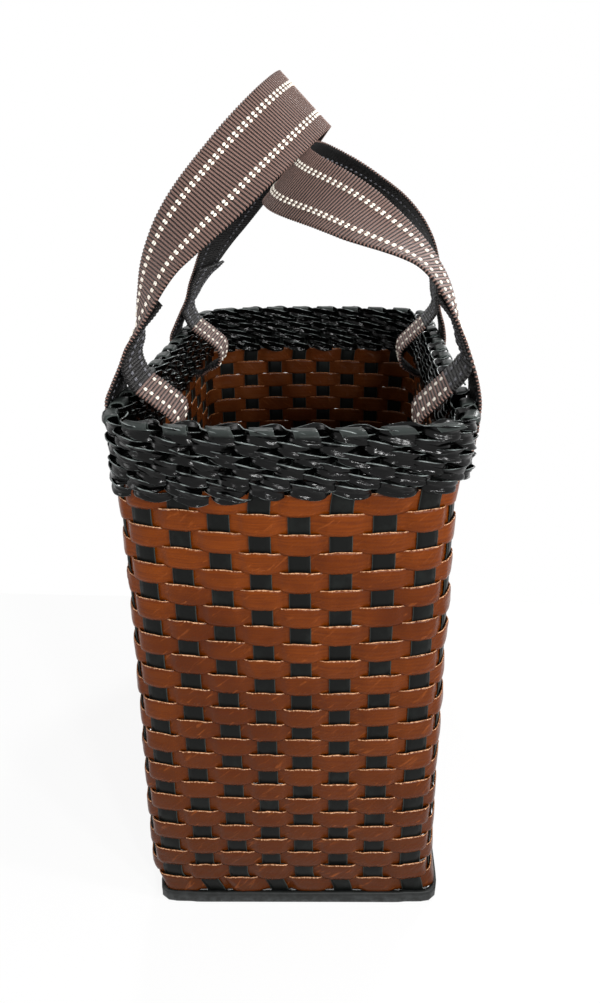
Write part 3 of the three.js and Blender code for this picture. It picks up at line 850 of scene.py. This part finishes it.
def base_band():
    """The smooth strip round the foot: up the outside, and under the bend of the stakes."""
    profile = [(0.5, BASE_HEIGHT), (2.2, BASE_HEIGHT), (BASE_OUTSIDE, BASE_HEIGHT - 0.5),
               (BASE_OUTSIDE, 5.6), (BASE_OUTSIDE, 3), (BASE_OUTSIDE, 1.3), (2.35, 0.4),
               (1.5, 0.02), (0.2, 0.02), (-1.1, 0.02), (-1.1, 0.4), (0.3, 2.6), (0.5, 5.2),
               (0.5, BASE_HEIGHT)]

    def place(i, j):
        length = i / FOOT_STEPS * AROUND
        out, z = profile[j]
        if out > 2:
            out += uneven(beside(length, 0, 0), 0.03, 8) * 0.3 * min(z, 3) / 3
        return beside(length, out, z), (length, j)

    bm = bmesh.new()
    lay_strip(bm, FOOT_STEPS, len(profile) - 1, place, closed=True)
    bmesh.ops.recalc_face_normals(bm, faces=bm.faces)
    piece = new_piece("foot_band", bm, [FOOT], "foot_strip", "base_band")
    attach(piece, "basket_body")


base_band()


# Webbing
LINE_STEPS = 400
FREE_STATIONS = 34
FINE_STEPS = 8
WEBBING_SPLITS = 20
PLEATS = 3.5
PLEAT_DEPTH = 1.25
RIB_RISE = 0.12
SELVEDGE_RISE = 0.35
# How far from each end the webbing is painted with its dark back's finish, as shade over its tab and
# the top of its slack leg.
SHADED_END_LENGTH = TAB_LENGTH + 14
STITCH_LINES = (-10.4, -8.5, 9.6, 11.5)
STITCH_SIZE = Vector((1.9, 1.55, 0.9))
STITCH_ROUNDING = 0.28


def spline(points, t):
    """A point on the even curve through points of any size, with t from 0 to 1."""
    spans = len(points) - 1
    at = min(int(t * spans), spans - 1)
    u = t * spans - at
    p1 = points[at]
    p2 = points[at + 1]
    p0 = points[at - 1] if at > 0 else [2 * a - b for a, b in zip(p1, p2)]
    p3 = points[at + 2] if at + 2 <= spans else [2 * b - a for a, b in zip(p1, p2)]
    result = []
    for a, b, c, d in zip(p0, p1, p2, p3):
        t0 = (c - a) / 2
        t1 = (d - b) / 2
        result.append(b + t0 * u + (3 * (c - b) - 2 * t0 - t1) * u * u
                      + (2 * (b - c) + t0 + t1) * u ** 3)
    return result


def strap_frames(strap):
    """Sections of the carrying strap from the near fold to the far one: (distance, middle, width's
    direction, outward face)."""
    inwards = -strap["side"]
    origin = Vector((strap["side"] * (HALF_WIDTH - strap["inset"]), NEAR_LOOP_Y, HINGE_Z))
    points = [(inwards * a, b, c) for a, b, c, _ in strap["line"]]
    twists = [(line[3],) for line in strap["line"]]
    places = [Vector(spline(points, i / LINE_STEPS)) for i in range(LINE_STEPS + 1)]
    travelled = [0]
    for before, after in zip(places, places[1:]):
        travelled.append(travelled[-1] + (after - before).length)
    total = travelled[-1]
    frames = []
    for i in range(LINE_STEPS + 1):
        before = places[max(i - 1, 0)]
        after = places[min(i + 1, LINE_STEPS)]
        travel = (after - before).normalized()
        level = Vector((inwards, 0, 0))
        level = (level - travel * level.dot(travel)).normalized()
        angle = inwards * math.radians(spline(twists, i / LINE_STEPS)[0])
        across = Matrix.Rotation(angle, 3, travel) @ level
        from_end = min(travelled[i], total - travelled[i])
        sewn = Vector((0, 1 if i < LINE_STEPS / 2 else -1, 0))
        free = smooth(0, SEWN_LENGTH, from_end)
        across = sewn.lerp(across, free).normalized() * inwards
        face = travel.cross(across).normalized()
        frames.append((travelled[i], origin + places[i], across, face))
    return frames


def frame_at(frames, distance):
    """The strap's section at a distance from its near fold."""
    for before, after in zip(frames, frames[1:]):
        if after[0] >= distance:
            share = (distance - before[0]) / max(after[0] - before[0], 1e-9)
            return [before[n].lerp(after[n], share) for n in (1, 2, 3)]
    return list(frames[-1][1:])


def loop_stations(strap, y):
    """Stations of a loop at y, from its fold down the slack leg, through the rim and up outside."""
    side = strap["side"]
    passage = round(y / PITCH) * PITCH
    reach = strap["reach"]
    legs = [
        (-reach * 0.2, FOLD_Z - 7, 1), (-reach * 0.62, FOLD_Z - 16, 1), (-reach, FOLD_Z - 26, 1),
        (-reach * 0.95, FOLD_Z - 34, 0.92), (-13.5, GATHERED_Z + 5, 0.45),
        (-7.5, GATHERED_Z + 0.3, 0.05), (0, GATHERED_Z, 0), (6.6, GATHERED_Z + 0.3, 0.02),
        (LEG_OUTSIDE + 0.3, GATHERED_Z + 5, 0.35), (LEG_OUTSIDE + 0.4, GATHERED_Z + 14, 0.96),
        (LEG_OUTSIDE + 0.6, RIM_TOP - 8, 1), (LEG_OUTSIDE + 0.8, RIM_TOP + 1.5, 1),
        ((LEG_OUTSIDE - strap["inset"]) / 2 + 1.6, RIM_TOP + 9.5, 1)]
    stations = []
    for out, z, share in legs:
        place = Vector((side * (HALF_WIDTH + out), passage + (y - passage) * share, z))
        stations.append((place, Vector((0, -side, 0)), share))
    return stations


def webbing_path(strap):
    """Stations of one whole length of webbing: the near end's free tab, down the slack leg, through
    the rim, up outside, over the hand, and the same at the far end. A station holds its middle, the
    direction of its width, and the share of its full width."""
    frames = strap_frames(strap)
    total = frames[-1][0]

    def layer(distances, offset):
        """Stations along the strap's line, so far out from it."""
        made = []
        for distance in distances:
            middle, across, face = frame_at(frames, distance)
            made.append((middle + face * offset(distance), across, 1))
        return made

    def under(distance):
        """The sewn end lies under the strap, and its free tab droops."""
        from_end = min(distance, total - distance)
        return -0.85 - 2.4 * smooth(SEWN_LENGTH - 2, TAB_LENGTH, from_end)

    def over(distance):
        """The strap lies on its sewn end, and on its own line past it."""
        from_end = min(distance, total - distance)
        return 0.8 * (1 - smooth(SEWN_LENGTH, SEWN_LENGTH + 12, from_end))

    near_end = layer((TAB_LENGTH, 30, SEWN_LENGTH, 16, 8, 0), under)
    fold, across, share = near_end[-1]
    near_end[-1] = (fold + Vector((0, 0, 0.5)), across, share)
    free = layer([total * i / FREE_STATIONS for i in range(FREE_STATIONS + 1)], over)
    far_loop = [(place, -across, share)
                for place, across, share in reversed(loop_stations(strap, FAR_LOOP_Y))]
    far_end = layer([total - d for d in (0, 8, 16, SEWN_LENGTH, 30, TAB_LENGTH)], under)
    return near_end + loop_stations(strap, NEAR_LOOP_Y) + free + far_loop + far_end


def through(stations, knots, n, u):
    """Values on the smooth curve through the stations, a share u past station n, where the
    stations lie at uneven knots."""
    last = len(stations) - 1
    near = (stations[max(n - 1, 0)], stations[n], stations[n + 1], stations[min(n + 2, last)])
    rows = [[*middle, *across, share] for middle, across, share in near]
    span = knots[n + 1] - knots[n]
    before = knots[n] - knots[max(n - 1, 0)] or span
    after = knots[min(n + 2, last)] - knots[n + 1] or span
    values = []
    for a, b, c, d in zip(*rows):
        slope = (c - b) / span
        start = slope
        if n > 0:
            start = ((b - a) / before * span + slope * before) / (before + span)
        end = slope
        if n + 2 <= last:
            end = (slope * after + (d - c) / after * span) / (after + span)
        t0 = start * span
        t1 = end * span
        values.append(b + t0 * u + (3 * (c - b) - 2 * t0 - t1) * u * u
                      + (2 * (b - c) + t0 + t1) * u ** 3)
    return values


def webbing_sections(strap):
    """Even sections of the webbing, a quarter of a rib apart: (middle, width's direction, face,
    share of the full width)."""
    stations = webbing_path(strap)
    knots = [0]
    for before, after in zip(stations, stations[1:]):
        knots.append(knots[-1] + max((after[0] - before[0]).length, 0.5))
    fine = []
    for n in range(len(stations) - 1):
        for step in range(FINE_STEPS):
            fine.append(through(stations, knots, n, step / FINE_STEPS))
    fine.append([*stations[-1][0], *stations[-1][1], stations[-1][2]])
    travelled = [0]
    for before, after in zip(fine, fine[1:]):
        travelled.append(travelled[-1] + (Vector(after[:3]) - Vector(before[:3])).length)
    count = int(travelled[-1] / SECTION_STEP)
    rows = []
    n = 0
    for i in range(count + 1):
        while n < len(fine) - 2 and travelled[n + 1] < i * SECTION_STEP:
            n += 1
        share = (i * SECTION_STEP - travelled[n]) / max(travelled[n + 1] - travelled[n], 1e-9)
        rows.append([a + (b - a) * share for a, b in zip(fine[n], fine[n + 1])])
    sections = []
    for i, row in enumerate(rows):
        before = Vector(rows[max(i - 2, 0)][:3])
        after = Vector(rows[min(i + 2, count)][:3])
        travel = (after - before).normalized()
        across = Vector(row[3:6])
        across = (across - travel * across.dot(travel)).normalized()
        share = min(max(row[6], 0), 1)
        sections.append((Vector(row[:3]), across, travel.cross(across), share))
    return sections


def webbing_point(section, i, v):
    """The point across a section of webbing at v from -1 to 1, pleated where it is gathered."""
    middle, across, face, share = section
    width = GATHERED_WIDTH + (WEBBING_WIDTH - GATHERED_WIDTH) * share
    rib = math.cos(math.pi / 2 * i)
    pleat = PLEAT_DEPTH * (1 - share) * math.cos(PLEATS * math.pi * v)
    half = width / 2 + (SELVEDGE_RISE * rib if abs(v) > 0.99 else 0)
    return middle + across * (v * half) + face * (RIB_RISE * rib + pleat)


def strap_webbing(name, sections):
    """One whole length of webbing, whose ends, with the tabs and the tops of the slack legs, take the
    dark finish of its back on both faces as painted shade.
    """
    steps = len(sections) - 1

    def place(i, j):
        v = 2 * j / WEBBING_SPLITS - 1
        return webbing_point(sections[i], i, v), (i * SECTION_STEP, v * WEBBING_WIDTH / 2)

    bm = bmesh.new()
    lay_strip(bm, steps, WEBBING_SPLITS, place)
    uv = bm.loops.layers.uv["UVMap"]
    # Painted shade: the ends take the dark back's finish on both faces.
    for face in bm.faces:
        from_start = face.loops[0][uv].uv.x
        if min(from_start, steps * SECTION_STEP - from_start) < SHADED_END_LENGTH:
            face.material_index = 1
    webbing = new_piece(f"{name}_webbing", bm, [WEBBING_FACE, WEBBING_BACK], "webbing",
                        f"{name}_handle", f"{name}_near_loop", f"{name}_far_loop")
    thicken(webbing, WEBBING_THICKNESS, back=1).use_even_offset = False
    return webbing


def sew(bm, point, turn, thread):
    """One rounded stitch at a point, with thread 0 for the cream one and 1 for the grey one."""
    bead = bmesh.ops.create_cube(bm, size=1)["verts"]
    edges = {edge for vert in bead for edge in vert.link_edges}
    rounded = bmesh.ops.bevel(bm, geom=list(edges), offset=STITCH_ROUNDING, segments=1,
                              profile=0.5, affect="EDGES", material=-1)
    verts = {vert for face in rounded["faces"] for vert in face.verts}
    for vert in verts:
        vert.co = (point + turn @ (vert.co * STITCH_SIZE)) * MM
    for face in {face for vert in verts for face in vert.link_faces}:
        face.smooth = True
        face.material_index = thread


def strap_stitches(name, sections):
    """The stitches of one length of webbing. The free stretch has cream ones on its face and the
    two outer lines' grey ones on its back, and the ends, painted in shade, have grey ones on their
    face too."""
    steps = len(sections) - 1
    every = round(STITCH_PITCH / SECTION_STEP)
    bm = bmesh.new()
    for i in range(every, steps, every):
        _, across, face, share = sections[i]
        if share < 0.6:
            continue
        # Near the ends, which are painted in shade, every stitch is grey.
        free = min(i, steps - i) * SECTION_STEP > SHADED_END_LENGTH
        turn = Matrix((across.cross(face), across, face)).transposed()
        lines = [(line, 1) for line in STITCH_LINES]
        if free:
            lines += [(STITCH_LINES[0], -1), (STITCH_LINES[-1], -1)]
        for line, way in lines:
            point = webbing_point(sections[i], i, line / (WEBBING_WIDTH / 2))
            point += face * (way * (WEBBING_THICKNESS / 2 + 0.1))
            sew(bm, point, turn, 0 if free and way > 0 else 1)
    return new_piece(f"{name}_stitches", bm, [CREAM, DARK_THREAD], "webbing")


def carrying_strap(name, strap):
    """One length of webbing with its two loops, and its stitches."""
    sections = webbing_sections(strap)
    for piece in (strap_webbing(name, sections), strap_stitches(name, sections)):
        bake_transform(piece)


for name, strap in STRAPS.items():
    carrying_strap(name, strap)


# Stage
TABLE_SIZE = (2.4, 2.2, 0.03)
TABLE_BACK = 0.2
TABLE_CLEARANCE = 0.0001
HIDDEN_MARGIN = 3


def stage_box(name, size, middle, material):
    """A plain box that the basket stands on, which isn't part of it."""
    bm = bmesh.new()
    bmesh.ops.create_cube(bm, size=1)
    bmesh.ops.scale(bm, verts=bm.verts, vec=size)
    bmesh.ops.translate(bm, verts=bm.verts, vec=middle)
    new_object(name, bm, [material])


def seen_share(owner):
    """1 for what the camera, a reflection or a clear part sees, and 0 for light on the object."""
    path = add_node(owner, "ShaderNodeLightPath")
    mirrored = add_node(owner, "ShaderNodeMath", {
        0: path.outputs["Is Camera Ray"], 1: path.outputs["Is Glossy Ray"]}, operation="MAXIMUM")
    return add_node(owner, "ShaderNodeMath", {
        0: mirrored.outputs[0], 1: path.outputs["Is Transmission Ray"]}, operation="MAXIMUM")


def pale_board(name, colour, shown):
    """Painted white board, which the camera and reflections see a little brighter than the lamps
    leave it, except where the basket stands."""
    material = new_material(name)
    board = add_node(material, "ShaderNodeBsdfDiffuse", {"Color": linear(colour)})
    _, apart = body_map(material)
    beyond = []
    for axis, half in enumerate((HALF_WIDTH, HALF_LENGTH)):
        away = add_node(material, "ShaderNodeMath", {0: apart.outputs[axis]}, operation="ABSOLUTE")
        beyond.append(add_node(material, "ShaderNodeMath", {
            0: away.outputs[0], 1: (half - HIDDEN_MARGIN) * MM}, operation="GREATER_THAN"))
    open_floor = add_node(material, "ShaderNodeMath", {
        0: beyond[0].outputs[0], 1: beyond[1].outputs[0]}, operation="MAXIMUM")
    glowing = add_node(material, "ShaderNodeMath", {
        0: seen_share(material).outputs[0], 1: open_floor.outputs[0]}, operation="MULTIPLY")
    amount = add_node(material, "ShaderNodeMath", {0: glowing.outputs[0], 1: shown},
                      operation="MULTIPLY")
    glow = add_node(material, "ShaderNodeEmission", {"Color": linear("#FFFFFF"), "Strength": 1})
    mixed = add_node(material, "ShaderNodeMixShader", {
        0: amount.outputs[0], 1: board.outputs[0], 2: glow.outputs[0]})
    return finish_material(material, mixed)


stage_box("table", TABLE_SIZE,
          (0, TABLE_BACK - TABLE_SIZE[1] / 2, -TABLE_SIZE[2] / 2 - TABLE_CLEARANCE),
          pale_board("white_table", "#E8E8E8", 0.86))

world = bpy.data.worlds.new("studio")
bpy.context.scene.world = world
world.use_nodes = True
world.node_tree.nodes.clear()
strength = add_node(world, "ShaderNodeMapRange", {0: seen_share(world).outputs[0], 3: 0.32, 4: 1})
sky = add_node(world, "ShaderNodeBackground", {
    "Color": linear("#FFFFFF"), "Strength": strength.outputs[0]})
add_node(world, "ShaderNodeOutputWorld", {"Surface": sky.outputs[0]})


def softbox(name, place, aim, size, power):
    """A lamp behind a square of cloth."""
    lamp = bpy.data.lights.new(name, "AREA")
    lamp.shape = "RECTANGLE"
    lamp.size, lamp.size_y = size
    lamp.energy = power
    thing = bpy.data.objects.new(name, lamp)
    thing.location = place
    thing.rotation_euler = (Vector(aim) - Vector(place)).to_track_quat("-Z", "Y").to_euler()
    bpy.context.scene.collection.objects.link(thing)


for pane, place in enumerate([(0.5, -1.0, 0.7), (0.2, -1.12, 0.58), (0.78, -0.8, 0.62)]):
    softbox(f"window_pane_{pane + 1}", place, (0.03, -0.1, 0.27), (0.1, 0.1), 4.6)
softbox("side_right", (0.85, -0.3, 0.75), (0, 0, 0.35), (0.1, 0.1), 4)
for pane, place in enumerate([(0.3, 0.6, 1.2), (-0.15, 0.75, 1.15)]):
    softbox(f"roof_pane_{pane + 1}", place, (0, 0, 0.3), (0.12, 0.12), 3.5)
softbox("low_back", (0.6, 0.95, 0.7), (0, 0, 0.32), (0.3, 0.2), 5)
softbox("fill_left", (-0.9, -0.5, 0.6), (0, 0, 0.2), (0.4, 0.5), 4)

# Camera, at the photograph's place
PHOTO_HEIGHT = 1003
FOCAL_LENGTH = 774.1
CAMERA_PLACE = (0.0281, -0.4913, 0.4186)
PITCH_DOWN = 0.4179
YAW = -0.0642
ROLL = -0.01356
right = Vector((math.cos(YAW), -math.sin(YAW), 0))
forward = Vector((math.sin(YAW) * math.cos(PITCH_DOWN), math.cos(YAW) * math.cos(PITCH_DOWN),
                  -math.sin(PITCH_DOWN)))
upward = right.cross(forward)
camera_data = bpy.data.cameras.new("camera")
camera_data.sensor_fit = "VERTICAL"
camera_data.sensor_height = 36
camera_data.lens = FOCAL_LENGTH * camera_data.sensor_height / PHOTO_HEIGHT
camera = bpy.data.objects.new("camera", camera_data)
columns = (right * math.cos(ROLL) + upward * math.sin(ROLL),
           upward * math.cos(ROLL) - right * math.sin(ROLL), -forward)
turn = Matrix(columns).transposed()
camera.matrix_world = Matrix.Translation(CAMERA_PLACE) @ turn.to_4x4()
bpy.context.scene.collection.objects.link(camera)
bpy.context.scene.camera = camera

bpy.context.scene.view_settings.view_transform = "Standard"
